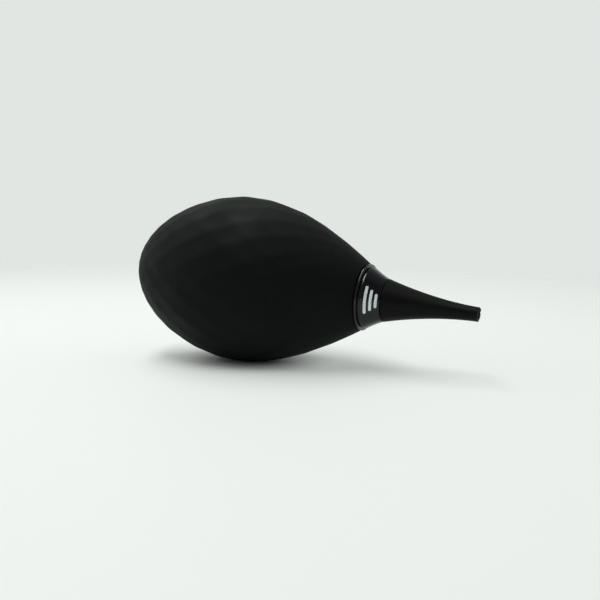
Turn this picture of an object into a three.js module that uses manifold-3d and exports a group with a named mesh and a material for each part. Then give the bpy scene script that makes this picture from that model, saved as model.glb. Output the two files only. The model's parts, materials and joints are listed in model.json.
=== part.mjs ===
// A squeeze bulb that blows dust off watch parts: a faceted rubber bulb with a one-way valve in its
// tail, a collar and a one-way valve in its neck, and a tapered nozzle that pulls off its spigot.
// Lengths are in mm. Every piece is drawn on the bulb's own axis, with x = 0 at the end of the tail
// and +x towards the nozzle. The whole blower then lies tilted on one facet, with +z up.
import * as THREE from 'three';
import Module from 'manifold-3d';

const wasm = await Module();
wasm.setup();

// Bulb
const bulbRadius = 30.35;
const tailLength = 43.7; // from the tail end to the widest place
const frontLength = 47.7; // from the widest place to the mouth
const mouthRadius = 11.74;
const tailFullness = 1.82; // exponent of the superellipse behind the widest place
const frontShift = 1.018; // exponents that shape the cosine curve in front of it
const frontFullness = 0.966;
const bulbWall = 2.6;
const facetsAround = 20;
const facetStep = 0.272; // distance between rings of corners over the radius there
const restStation = 49.1; // middle of the facet that the blower lies on
const restTrim = 0.05; // rubber pressed flat beyond the facet's front and back corners

// Neck and nozzle
const clearance = 0.3; // between pieces that touch
const collarLength = 8.17;
const beadHeight = 0.35;
const beadWidth = 0.9;
const beadInset = 0.45; // of the bead's foot from the bulb's mouth
const grooveWidth = 0.3;
const grooveDepth = 0.35;
const flareInset = 1.13; // of the flare from the bulb's mouth, measured past the groove
const flareSetback = 2.2; // from the bulb's mouth to where the flare has that inset
const flareExponent = 1.2;
const nozzleBaseRadius = 7.44;
const nozzleLength = 32.13;
const nozzleTipRadius = 2.43;
const nozzleExponent = 1.776;
const nozzleTipBore = 1.25;
const nozzleWall = 0.92; // around the end of the socket
const nozzleThroat = 2; // radius of the bore where the spigot ends
const nozzleSocketSpare = 0.5; // room past the spigot's end
const tipRounding = 0.45;
const mouthLip = 7.9; // thickness of the rubber lip that the bush grips
const mouthWall = 3.4; // of the rubber around the bush
const bushWall = 1.8; // around the valve
const bushFlangeReach = 2.7;
const bushFlange = 1.5;
const bushTail = 2.4; // from the flange back to the bush's inner end
const collarSeatStep = 1.1; // of the bush inside the collar, beyond the spigot
const collarSeatWall = 1.3;
const collarSeatFloor = 1.6; // thickness between that seat's bore and the spigot
const spigotLength = 7;
const spigotBore = 2;
const sealRadius = 0.4; // of the seal's round section
const sealStation = 3.4; // along the spigot
const ringLand = 0.8; // of the bush behind the retaining ring's groove
const ringGrooveDepth = 0.6;
const ringThickness = 0.8;
const ringWidth = 1.5;
const ringGap = 2.4;

// Valves
const flapThickness = 0.8;
const flapTravel = 0.8;
const flapStemRadius = 0.6;
const seatThickness = 1.3;
const cageThickness = 1.1;
const cageRim = 0.8;
const portRadius = 0.7;
const portCircle = 2.1;
const portCount = 6;
const spokeCount = 3;
const spokeWidth = 1;
const gasketThickness = 0.8;

// Tail
const pocketDepth = 5.2; // from the end of the tail
const tailWall = 2.8;
const inletRadius = 5.8;
const inletWall = 1;
const inletFlange = 1;
const inletFlangeReach = 2.5;
const inletGasketWidth = 1.9;
const nutLength = 2.6;
const nutWall = 1.35; // at the middle of each flat
const capShell = 1.9;
const capPlugLength = 1.5;
const capPlugWall = 0.9;
const padThickness = 2.6;

// Fineness
const roundSides = 24;
const nozzleSides = 36;
const portSides = 12;
const sealSides = 8;
const hexSides = 6;
const curveSteps = 9;
const roundingSteps = 3;
const tiny = 1e-4;
const well = 1; // how far a cutter runs past what it cuts

// Radii that follow from those sizes
const bushRadius = mouthRadius - mouthWall - clearance;
const bushBore = bushRadius - bushWall;
const bushFlangeRadius = bushRadius + bushFlangeReach;
const socketRadius = nozzleRadiusAt(spigotLength + nozzleSocketSpare) - nozzleWall;
const spigotRadius = socketRadius - clearance;
const sealFloor = spigotRadius - 2 * sealRadius - clearance;
const collarSeatRadius = spigotRadius + collarSeatStep;
const collarSeatBore = collarSeatRadius - collarSeatWall;
const inletBore = inletRadius - inletWall;
const inletHole = inletRadius + clearance;
const pocketRadius = inletHole + inletFlangeReach;
const gasketRadius = inletHole + inletGasketWidth;
const nutCornerRadius = (inletHole + nutWall) / Math.cos(Math.PI / hexSides);

// Stations along the axis
const mouth = tailLength + frontLength;
const lipBack = mouth - mouthLip;
const collarStart = mouth + clearance;
const nozzleSeam = mouth + collarLength;
const collarEnd = nozzleSeam - clearance / 2;
const nozzleStart = nozzleSeam + clearance / 2;
const nozzleEnd = nozzleSeam + nozzleLength;
const spigotEnd = nozzleSeam + spigotLength;
const bushFlangeEnd = lipBack - gasketThickness - 2 * clearance;
const bushStart = bushFlangeEnd - bushFlange - bushTail;
const ringStart = bushStart + ringLand + clearance;
const outletSeat = ringStart + ringThickness + clearance;
const hollowBack = pocketDepth + tailWall;
const flangeEnd = pocketDepth - clearance;
const flangeStart = flangeEnd - inletFlange;
const capEnd = flangeStart - clearance;
const capPlugEnd = capEnd + capPlugLength;
const padStart = capPlugEnd + clearance;
const inletSeat = padStart + padThickness + clearance;
const valveLength = seatThickness + flapThickness + flapTravel + 2 * clearance + cageThickness;
const inletEnd = inletSeat + valveLength;
const outletEnd = outletSeat + valveLength;
const inletGasketStart = hollowBack + clearance;
const nutStart = inletGasketStart + gasketThickness + clearance;
const halfFacet = Math.PI / facetsAround;

// The nozzle's radius at a distance from its seam with the collar.
function nozzleRadiusAt(distance) {
  const left = 1 - distance / nozzleLength;
  return nozzleTipRadius + (nozzleBaseRadius - nozzleTipRadius) * Math.pow(left, nozzleExponent);
}

function bulbRadiusAt(x) {
  if (x <= tailLength) {
    const inward = Math.pow(1 - x / tailLength, tailFullness);
    return bulbRadius * Math.pow(Math.max(0, 1 - inward), 1 / tailFullness);
  }
  const along = Math.min(1, (x - tailLength) / frontLength);
  const wave = Math.cos((Math.PI / 2) * Math.pow(along, frontShift));
  return mouthRadius + (bulbRadius - mouthRadius) * Math.pow(Math.max(0, wave), frontFullness);
}

// The place along the axis, behind the widest one, where the bulb has a given radius.
function tailStation(radius) {
  const outward = Math.pow(radius / bulbRadius, tailFullness);
  return tailLength * (1 - Math.pow(1 - outward, 1 / tailFullness));
}

// One step of a facet's half length along the outline, forwards or backwards.
function nextStation(x, way) {
  const slope = (bulbRadiusAt(x + tiny) - bulbRadiusAt(x - tiny)) / (2 * tiny);
  const first = x + (way * facetStep * bulbRadiusAt(x)) / Math.hypot(1, slope) / 2;
  const middle = Math.min(Math.max(first, tiny), mouth - tiny);
  const steep = (bulbRadiusAt(middle + tiny) - bulbRadiusAt(middle - tiny)) / (2 * tiny);
  return x + (way * facetStep * bulbRadiusAt(middle)) / Math.hypot(1, steep);
}

// Stations of the rings of facet corners, and which of them holds the resting facet.
function facetStations() {
  const behind = [];
  let x = nextStation(restStation, -1);
  while (x > 0 && bulbRadiusAt(x) > pocketRadius / 2) {
    behind.unshift(x);
    x = nextStation(x, -1);
  }
  const ahead = [];
  x = nextStation(restStation, 1);
  while (x < mouth - (facetStep * mouthRadius) / 2) {
    ahead.push(x);
    x = nextStation(x, 1);
  }
  return { stations: [...behind, restStation, ...ahead, mouth], rest: behind.length };
}

function vectors(pairs) {
  return pairs.map(([x, radius]) => new THREE.Vector2(radius, x));
}

// A turned solid on the x axis from (x, radius) pairs.
function turned(pairs, sides = roundSides) {
  const geometry = new THREE.LatheGeometry(vectors(pairs), sides);
  geometry.rotateZ(-Math.PI / 2);
  return solid(geometry);
}

function disc(start, end, radius, sides = roundSides) {
  return turned([[start, 0], [start, radius], [end, radius], [end, 0]], sides);
}

function tube(start, end, inner, outer, sides = roundSides) {
  const corners = [[start, inner], [start, outer], [end, outer], [end, inner], [start, inner]];
  return turned(corners, sides);
}

function box(start, end, width, height) {
  const geometry = new THREE.BoxGeometry(end - start, width, height);
  geometry.translate((start + end) / 2, 0, 0);
  return solid(geometry);
}

function solid(geometry) {
  const bare = geometry.index ? geometry.toNonIndexed() : geometry.clone();
  bare.deleteAttribute('normal');
  bare.deleteAttribute('uv');
  const merged = weld(bare.attributes.position.array);
  const result = new wasm.Manifold(new wasm.Mesh({ numProp: 3, ...merged }));
  return result.volume() < 0 ? turnedInsideOut(merged) : result;
}

function turnedInsideOut({ vertProperties, triVerts }) {
  const flipped = triVerts.slice();
  for (let i = 0; i < flipped.length; i += 3) {
    flipped[i + 1] = triVerts[i + 2];
    flipped[i + 2] = triVerts[i + 1];
  }
  return new wasm.Manifold(new wasm.Mesh({ numProp: 3, vertProperties, triVerts: flipped }));
}

// Corners that share a place become one, and triangles with no area are left out.
function weld(positions) {
  const seen = new Map();
  const corners = [];
  const indices = [];
  for (let i = 0; i < positions.length; i += 3) {
    const place = [positions[i], positions[i + 1], positions[i + 2]];
    const key = place.map((value) => Math.round(value / tiny)).join(' ');
    if (!seen.has(key)) {
      seen.set(key, corners.length / 3);
      corners.push(...place);
    }
    indices.push(seen.get(key));
  }
  const kept = [];
  for (let i = 0; i < indices.length; i += 3) {
    const [a, b, c] = indices.slice(i, i + 3);
    if (a !== b && b !== c && c !== a) kept.push(a, b, c);
  }
  return { vertProperties: new Float32Array(corners), triVerts: new Uint32Array(kept) };
}

// Copies of a solid around the axis.
function around(piece, count) {
  const copies = [];
  for (let i = 0; i < count; i += 1) copies.push(piece.rotate([(360 * i) / count, 0, 0]));
  return wasm.Manifold.union(copies);
}

function node(name, piece, look) {
  const mesh = piece.getMesh();
  const geometry = new THREE.BufferGeometry();
  geometry.setAttribute('position', new THREE.BufferAttribute(mesh.vertProperties, 3));
  geometry.setIndex(new THREE.BufferAttribute(mesh.triVerts, 1));
  geometry.computeVertexNormals();
  const result = new THREE.Mesh(geometry, new THREE.MeshStandardMaterial(look));
  result.name = name;
  return result;
}

const rubber = { color: 0x1b1d1c, roughness: 0.62, metalness: 0 };
const glossPlastic = { color: 0x101113, roughness: 0.18, metalness: 0 };
const mattePlastic = { color: 0x17191a, roughness: 0.55, metalness: 0 };
const paleRubber = { color: 0x9a9c98, roughness: 0.5, metalness: 0 };
const palePlastic = { color: 0xb9bcb8, roughness: 0.45, metalness: 0 };
const felt = { color: 0xc9c7bf, roughness: 0.95, metalness: 0 };
const brass = { color: 0xb5964f, roughness: 0.35, metalness: 1 };
const springSteel = { color: 0xa7abad, roughness: 0.3, metalness: 1 };

// The bulb's outside, as rings of corners that are each turned half a facet from the last.
function facetedOutside({ stations, rest }) {
  const outline = [[0, 0], ...stations.map((x) => [x, bulbRadiusAt(x)]), [mouth, 0]];
  const geometry = new THREE.LatheGeometry(vectors(outline), facetsAround);
  const position = geometry.attributes.position;
  const axis = new THREE.Vector3(0, 1, 0);
  const corner = new THREE.Vector3();
  for (let i = 0; i < position.count; i += 1) {
    const ring = (i % outline.length) - 1;
    corner.fromBufferAttribute(position, i).applyAxisAngle(axis, (ring - rest + 1) * halfFacet);
    position.setXYZ(i, corner.x, corner.y, corner.z);
  }
  geometry.rotateZ(-Math.PI / 2);
  return solid(geometry);
}

// A point of the hollow's outline: a wall's thickness square in from the outside at x.
function insideOf(x) {
  const slope = (bulbRadiusAt(x + tiny) - bulbRadiusAt(x - tiny)) / (2 * tiny);
  const length = Math.hypot(1, slope);
  return { station: x + (bulbWall * slope) / length, radius: bulbRadiusAt(x) - bulbWall / length };
}

function hollowRadiusAt(station) {
  let low = tiny;
  let high = mouth - tiny;
  while (high - low > tiny) {
    const middle = (low + high) / 2;
    if (insideOf(middle).station < station) low = middle;
    else high = middle;
  }
  return insideOf(low).radius;
}

// The bulb's hollow, with a flat floor at the tail and a flat lip at the mouth.
function hollow() {
  const outline = [[hollowBack, 0]];
  const steps = 2 * curveSteps;
  for (let i = 0; i <= steps; i += 1) {
    const share = (1 - Math.cos((Math.PI * i) / steps)) / 2;
    const station = hollowBack + (lipBack - hollowBack) * share;
    outline.push([station, hollowRadiusAt(station)]);
  }
  outline.push([lipBack, 0]);
  return turned(outline, nozzleSides);
}

// The line under the resting facet, through its back and front corners.
function restLine({ stations, rest }) {
  const [back, front] = [stations[rest - 1], stations[rest + 1]];
  const [low, high] = [bulbRadiusAt(back), bulbRadiusAt(front)];
  const tilt = Math.atan2(low - high, front - back);
  return { x: (back + front) / 2, z: restTrim - (low + high) / 2, tilt };
}

function bulb(rings, line) {
  const floor = new THREE.BoxGeometry(2 * mouth, 2 * bulbRadius, bulbRadius);
  floor.translate(0, 0, -bulbRadius / 2);
  floor.rotateY(-line.tilt);
  floor.translate(line.x, 0, line.z);
  const pocket = disc(-well, pocketDepth, pocketRadius);
  const tailHole = disc(0, hollowBack + well, inletHole);
  const mouthHole = disc(lipBack - well, mouth + well, bushRadius + clearance, nozzleSides);
  return facetedOutside(rings).subtract(hollow()).subtract(pocket).subtract(tailHole)
    .subtract(mouthHole).subtract(solid(floor));
}

// Cutters for the ports around a valve's seat and the hole for its flap's stem.
function valvePorts(start) {
  const end = start + seatThickness;
  const port = disc(start - well, end + well, portRadius, portSides).translate([0, 0, portCircle]);
  const stemHole = disc(start - well, end + well, flapStemRadius + clearance, portSides);
  return around(port, portCount).add(stemHole);
}

// A valve's flap lies on the front of its seat, with its stem in the seat.
function valveFlap(seatStart, cageRadius) {
  const radius = cageRadius - cageRim - clearance;
  const face = seatStart + seatThickness + clearance;
  const edge = flapThickness / 2;
  return turned([
    [seatStart + clearance, 0], [seatStart + clearance, flapStemRadius], [face, flapStemRadius],
    [face, radius], [face + edge, radius], [face + flapThickness, radius - edge],
    [face + flapThickness, 0],
  ]);
}

// A valve's cage: a rim around the flap, and spokes that stop it.
function valveCage(seatStart, radius) {
  const end = seatStart + valveLength;
  const start = end - cageThickness;
  const reach = radius - cageRim / 2;
  const spoke = box(start, end, spokeWidth, reach).translate([0, 0, reach / 2]);
  const rim = tube(seatStart + seatThickness + clearance, end, radius - cageRim, radius);
  return rim.add(around(spoke, spokeCount));
}

function filterCap() {
  const radius = pocketRadius - clearance;
  const plug = inletBore - clearance;
  const dome = [];
  for (let i = 0; i <= curveSteps; i += 1) {
    const share = Math.sin((Math.PI * i) / (2 * curveSteps));
    dome.push([tailStation(radius * share), radius * share]);
  }
  const shell = turned([
    ...dome, [capEnd, radius], [capEnd, plug], [capPlugEnd, plug],
    [capPlugEnd, plug - capPlugWall], [capShell, plug - capPlugWall], [capShell, 0],
  ]);
  const hole = disc(-well, capShell + well, portRadius, portSides);
  return shell.subtract(around(hole.translate([0, 0, portCircle]), portCount)).subtract(hole);
}

function filterPad() {
  return disc(padStart, padStart + padThickness, inletBore - clearance);
}

function inletBody() {
  const flange = disc(flangeStart, flangeEnd, pocketRadius - clearance);
  const barrel = disc(flangeStart, inletEnd, inletRadius);
  const filterRoom = disc(flangeStart - well, inletSeat, inletBore);
  const flapRoom = disc(inletSeat + seatThickness, inletEnd + well, inletBore);
  return flange.add(barrel).subtract(filterRoom).subtract(flapRoom).subtract(valvePorts(inletSeat));
}

function inletGasket() {
  const end = inletGasketStart + gasketThickness;
  return tube(inletGasketStart, end, inletHole, gasketRadius);
}

function inletNut() {
  const blank = disc(nutStart, nutStart + nutLength, nutCornerRadius, hexSides);
  return blank.subtract(disc(nutStart - well, nutStart + nutLength + well, inletHole));
}

function neckBush() {
  const sealMiddle = nozzleSeam + sealStation;
  const sealGroove = sealRadius + clearance;
  const ringEnd = ringStart + ringThickness + clearance;
  const step = outletEnd + clearance;
  return turned([
    [bushStart, bushBore], [bushStart, bushRadius], [bushFlangeEnd - bushFlange, bushRadius],
    [bushFlangeEnd - bushFlange, bushFlangeRadius], [bushFlangeEnd, bushFlangeRadius],
    [bushFlangeEnd, bushRadius], [mouth, bushRadius], [mouth, collarSeatRadius],
    [collarEnd, collarSeatRadius], [collarEnd, spigotRadius],
    [sealMiddle - sealGroove, spigotRadius], [sealMiddle - sealGroove, sealFloor],
    [sealMiddle + sealGroove, sealFloor], [sealMiddle + sealGroove, spigotRadius],
    [spigotEnd, spigotRadius], [spigotEnd, spigotBore],
    [collarEnd - collarSeatFloor, spigotBore], [collarEnd - collarSeatFloor, collarSeatBore],
    [step, collarSeatBore], [step, bushBore], [ringEnd, bushBore],
    [ringEnd, bushBore + ringGrooveDepth], [ringStart - clearance, bushBore + ringGrooveDepth],
    [ringStart - clearance, bushBore], [bushStart, bushBore],
  ]);
}

function neckGasket() {
  const start = bushFlangeEnd + clearance;
  return tube(start, start + gasketThickness, bushRadius + clearance, bushFlangeRadius);
}

function retainingRing() {
  const outer = bushBore + ringGrooveDepth - clearance;
  const end = ringStart + ringThickness;
  const gap = box(ringStart - well, end + well, ringGap, outer).translate([0, 0, outer / 2 + well]);
  return tube(ringStart, end, outer - ringWidth, outer).subtract(gap);
}

function outletSeatDisc() {
  const radius = bushBore - clearance;
  return disc(outletSeat, outletSeat + seatThickness, radius).subtract(valvePorts(outletSeat));
}

function sealRing() {
  const middle = nozzleSeam + sealStation;
  const centre = sealFloor + clearance + sealRadius;
  const section = [];
  for (let i = 0; i <= sealSides; i += 1) {
    const turn = (2 * Math.PI * i) / sealSides;
    section.push([middle - sealRadius * Math.cos(turn), centre + sealRadius * Math.sin(turn)]);
  }
  return turned(section);
}

// The collar: a bead at the bulb, a groove, and a flare that sweeps down to the nozzle.
function collar() {
  const bore = collarSeatRadius + clearance;
  const flareStart = mouth + flareSetback;
  const flareRadius = mouthRadius - flareInset;
  const flareAt = (x) => {
    const left = Math.max(0, 1 - (x - flareStart) / (nozzleSeam - flareStart));
    return nozzleBaseRadius + (flareRadius - nozzleBaseRadius) * Math.pow(left, flareExponent);
  };
  const outline = [[collarStart, bore]];
  for (let i = 0; i <= curveSteps; i += 1) {
    const turn = (Math.PI * i) / curveSteps;
    const x = collarStart + (beadWidth / 2) * (1 - Math.cos(turn));
    outline.push([x, mouthRadius - beadInset + beadHeight * Math.sin(turn)]);
  }
  const grooveStart = collarStart + beadWidth;
  const grooveEnd = grooveStart + grooveWidth;
  outline.push([grooveStart, flareAt(grooveEnd) - grooveDepth]);
  outline.push([grooveEnd, flareAt(grooveEnd) - grooveDepth]);
  for (let i = 0; i <= curveSteps; i += 1) {
    const x = grooveEnd + ((collarEnd - grooveEnd) * i) / curveSteps;
    outline.push([x, flareAt(x)]);
  }
  outline.push([collarEnd, bore], [collarStart, bore]);
  return turned(outline, nozzleSides);
}

function nozzle() {
  const socketEnd = spigotEnd + nozzleSocketSpare;
  const outline = [[nozzleStart, socketRadius]];
  for (let i = 0; i <= curveSteps; i += 1) {
    const x = nozzleStart + ((nozzleEnd - tipRounding - nozzleStart) * i) / curveSteps;
    outline.push([x, nozzleRadiusAt(x - nozzleSeam)]);
  }
  for (let i = 1; i <= roundingSteps; i += 1) {
    const turn = (Math.PI * i) / (2 * roundingSteps);
    const x = nozzleEnd - tipRounding * (1 - Math.sin(turn));
    outline.push([x, nozzleTipRadius - tipRounding * (1 - Math.cos(turn))]);
  }
  outline.push([nozzleEnd, nozzleTipBore], [socketEnd, nozzleThroat], [socketEnd, socketRadius]);
  outline.push([nozzleStart, socketRadius]);
  return turned(outline, nozzleSides);
}

const rings = facetStations();
const line = restLine(rings);
const inletCageRadius = inletBore - clearance;
const outletCageRadius = bushBore - clearance;

const body = new THREE.Group();
body.add(
  node('bulb', bulb(rings, line), rubber),
  node('neck_bush', neckBush(), mattePlastic),
  node('neck_gasket', neckGasket(), paleRubber),
  node('retaining_ring', retainingRing(), springSteel),
  node('outlet_valve_seat', outletSeatDisc(), palePlastic),
  node('outlet_valve_flap', valveFlap(outletSeat, outletCageRadius), paleRubber),
  node('outlet_valve_cage', valveCage(outletSeat, outletCageRadius), palePlastic),
  node('collar', collar(), glossPlastic),
  node('nozzle_seal', sealRing(), paleRubber),
  node('nozzle', nozzle(), rubber),
);

const tailUnit = new THREE.Group();
tailUnit.add(
  node('filter_cap', filterCap(), mattePlastic),
  node('filter_pad', filterPad(), felt),
  node('inlet_valve_body', inletBody(), brass),
  node('inlet_valve_flap', valveFlap(inletSeat, inletCageRadius), paleRubber),
  node('inlet_valve_cage', valveCage(inletSeat, inletCageRadius), palePlastic),
  node('inlet_gasket', inletGasket(), paleRubber),
  node('inlet_nut', inletNut(), brass),
);

// The blower lies on the resting facet, centred over the origin.
const lying = new THREE.Group();
lying.add(body, tailUnit);
lying.rotation.y = line.tilt;
const blower = new THREE.Group();
blower.add(lying);
blower.updateMatrixWorld(true);
const size = new THREE.Box3().setFromObject(blower, true);
const middle = size.getCenter(new THREE.Vector3());
lying.position.set(-middle.x, -middle.y, -size.min.z);

export default blower;
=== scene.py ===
"""A dust blower for a watch bench: a faceted rubber bulb, a glossy collar and a tapered nozzle."""
import json
import math

import bmesh
import bpy
import numpy as np
from bpy.props import FloatProperty, FloatVectorProperty, IntProperty, PointerProperty
from mathutils import Matrix, Vector


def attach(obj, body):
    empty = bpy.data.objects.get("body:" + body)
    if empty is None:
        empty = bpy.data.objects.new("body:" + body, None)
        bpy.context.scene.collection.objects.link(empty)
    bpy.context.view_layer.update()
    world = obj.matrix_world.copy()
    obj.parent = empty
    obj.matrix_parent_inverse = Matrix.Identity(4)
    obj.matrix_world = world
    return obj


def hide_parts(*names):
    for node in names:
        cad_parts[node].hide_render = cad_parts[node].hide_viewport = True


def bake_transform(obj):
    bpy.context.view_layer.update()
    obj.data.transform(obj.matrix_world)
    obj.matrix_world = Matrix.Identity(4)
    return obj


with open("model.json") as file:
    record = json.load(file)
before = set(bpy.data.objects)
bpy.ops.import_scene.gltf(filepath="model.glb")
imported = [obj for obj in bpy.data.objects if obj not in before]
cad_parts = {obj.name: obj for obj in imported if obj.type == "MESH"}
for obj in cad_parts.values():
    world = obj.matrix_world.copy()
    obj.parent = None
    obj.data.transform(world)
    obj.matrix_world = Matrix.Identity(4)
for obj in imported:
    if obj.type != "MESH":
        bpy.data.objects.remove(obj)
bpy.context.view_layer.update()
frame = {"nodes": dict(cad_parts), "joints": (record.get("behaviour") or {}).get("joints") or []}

bl_info = {
    "name": "Dust blower",
    "version": (1, 0, 0),
    "blender": (4, 5, 0),
    "location": "View3D > Sidebar > Dust blower",
    "description": "Makes a faceted squeeze bulb with its collar, nozzle and tail valve",
    "category": "Object",
}

MM = 0.001
FULL_TURN = 2 * math.pi
NUDGE = 1e-6


# ---- sizes and colours


def length(name, description, default_mm):
    """A size in metres, given here in millimetres."""
    return FloatProperty(
        name=name, description=description, default=default_mm * MM, unit="LENGTH", precision=5
    )


def share(name, description, default):
    """A plain number."""
    return FloatProperty(name=name, description=description, default=default, precision=4)


def factor(name, description, default):
    """A number from 0 to 1."""
    return FloatProperty(
        name=name, description=description, default=default, min=0.0, max=1.0, subtype="FACTOR"
    )


def colour(name, description, default):
    """A linear colour."""
    return FloatVectorProperty(
        name=name, description=description, default=default, size=3, min=0.0, max=1.0, subtype="COLOR"
    )


def turn(name, description, degrees):
    """An angle, given here in degrees."""
    return FloatProperty(
        name=name, description=description, default=math.radians(degrees), subtype="ANGLE"
    )


class BulbSettings(bpy.types.PropertyGroup):
    """Sizes and finish of the rubber bulb."""

    radius: length("Radius", "Largest radius of the bulb", 30.35)
    tail_length: length("Tail length", "From the tail end to the widest place", 43.7)
    front_length: length("Front length", "From the widest place to the mouth", 47.7)
    mouth_radius: length("Mouth radius", "Radius where the bulb meets the collar", 11.74)
    tail_fullness: share("Tail fullness", "Exponent of the superellipse behind the widest place", 1.82)
    front_shift: share("Front shift", "Exponent that moves the front curve along", 1.018)
    front_fullness: share("Front fullness", "Exponent that fills the front curve out", 0.966)
    wall: length("Wall", "Thickness of the rubber", 2.6)
    facets_around: IntProperty(name="Facets around", description="Facets in one ring", default=20)
    facet_step: share("Facet step", "Ring spacing over the radius there", 0.272)
    rest_station: length("Resting place", "Middle of the facet that the bulb lies on", 49.1)
    edge_softness: share("Edge softness", "Rounding of the facets' edges, in half facets", 0.4)
    fade_start: length("Fade start", "Where the facets begin to fade towards the collar", 76.0)
    fade_end: length("Fade end", "Where the bulb has become smooth", 90.0)
    pocket_radius: length("Pocket radius", "Recess for the tail cap", 8.6)
    pocket_depth: length("Pocket depth", "Floor of that recess, from the tail end", 5.2)
    tail_wall: length("Tail wall", "Rubber clamped by the inlet valve", 2.8)
    tail_hole: length("Tail hole", "Radius of the hole for the inlet valve", 6.1)
    mouth_lip: length("Mouth lip", "Length of the rubber lip around the bush", 7.9)
    mouth_hole: length("Mouth hole", "Radius of the hole for the bush", 8.34)
    lip_rounding: length("Lip rounding", "Radius of the rubber's outer edges", 0.35)
    rubber: colour("Rubber", "Colour of the bulb", (0.0017, 0.0021, 0.0020))
    roughness: factor("Roughness", "Roughness of the bulb's rubber", 0.75)


class CollarSettings(bpy.types.PropertyGroup):
    """Sizes and finish of the collar and the mark on it."""

    gap: length("Gap", "Gap between pieces that touch", 0.3)
    collar_length: length("Length", "From the bulb's mouth to the nozzle's seam", 8.17)
    bead_height: length("Bead height", "Height of the bead", 0.35)
    bead_width: length("Bead width", "Width of the bead", 0.9)
    bead_inset: length("Bead inset", "Bead's foot inside the mouth radius", 0.45)
    groove_width: length("Groove width", "Width of the groove beside the bead", 0.3)
    groove_depth: length("Groove depth", "Depth of that groove", 0.35)
    flare_inset: length("Flare inset", "Flare's start inside the mouth radius", 1.13)
    flare_setback: length("Flare setback", "Flare's start from the mouth", 2.2)
    flare_exponent: share("Flare exponent", "Shape of the flare", 1.2)
    bore: length("Bore", "Radius of the hole through the collar", 5.75)
    end_rounding: length("End rounding", "Rounding of the collar's ends", 0.12)
    plastic: colour("Plastic", "Colour of the collar", (0.0040, 0.0043, 0.0052))
    roughness: factor("Roughness", "Roughness of the collar", 0.13)
    mark_colour: colour("Mark", "Colour of the printed bars", (0.9, 0.95, 0.98))
    mark_angle: turn("Mark angle", "Place of the printed bars around the collar", -88.0)
    mark_bar: length("Bar width", "Width of each printed bar", 0.85)
    mark_pitch: length("Bar pitch", "Distance between the bars", 1.6)
    mark_length: length("Bar length", "Length of the longest bar", 9.8)
    mark_start: length("Mark start", "First bar from the bulb's mouth", 3.65)
    mark_rise: length("Mark rise", "Thickness of the ink", 0.02)


class NozzleSettings(bpy.types.PropertyGroup):
    """Sizes and finish of the nozzle."""

    base_radius: length("Base radius", "Radius at the seam with the collar", 7.44)
    nozzle_length: length("Length", "From the seam to the tip", 32.13)
    tip_radius: length("Tip radius", "Radius at the tip", 2.43)
    exponent: share("Exponent", "Shape of the taper", 1.776)
    tip_bore: length("Tip bore", "Radius of the hole at the tip", 1.25)
    throat: length("Throat", "Radius of the bore behind the socket", 2.0)
    socket_radius: length("Socket radius", "Radius of the socket for the spigot", 4.63)
    socket_depth: length("Socket depth", "Depth of that socket from the seam", 7.5)
    tip_rounding: length("Tip rounding", "Rounding of the tip", 0.55)
    tip_wear: length("Tip wear", "Depth of the small nicks in the tip's edge", 0.3)
    rubber: colour("Rubber", "Colour of the nozzle", (0.0026, 0.0028, 0.0027))
    roughness: factor("Roughness", "Roughness of the nozzle", 0.5)


class TailSettings(bpy.types.PropertyGroup):
    """Sizes and finish of the tail cap."""

    cap_radius: length("Cap radius", "Radius of the cap", 8.3)
    cap_end: length("Cap end", "Back of the cap's rim, from the tail end", 3.6)
    plug_end: length("Plug end", "End of the cap's plug", 5.1)
    plug_radius: length("Plug radius", "Radius of the plug", 4.5)
    plug_bore: length("Plug bore", "Radius inside the plug", 3.6)
    shell: length("Shell", "Thickness of the cap at its middle", 1.9)
    dome_inset: length("Dome inset", "Dome's place behind the bulb's outline", 0.02)
    hole_radius: length("Hole radius", "Radius of each air hole", 0.7)
    hole_circle: length("Hole circle", "Radius of the ring of air holes", 2.1)
    hole_count: IntProperty(name="Holes", description="Air holes in the ring", default=6)
    plastic: colour("Plastic", "Colour of the cap and the bush", (0.007, 0.0075, 0.0075))


class ValveSettings(bpy.types.PropertyGroup):
    """Finish of the valves, seals and clamping pieces."""

    seal_rubber: colour("Seal rubber", "Colour of flaps and gaskets", (0.3, 0.31, 0.29))
    valve_plastic: colour("Valve plastic", "Colour of the seat and cages", (0.5, 0.52, 0.5))
    brass: colour("Brass", "Colour of the inlet body and nut", (0.62, 0.44, 0.17))
    steel: colour("Steel", "Colour of the retaining ring", (0.42, 0.43, 0.44))
    felt: colour("Felt", "Colour of the filter pad", (0.58, 0.56, 0.5))


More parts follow.
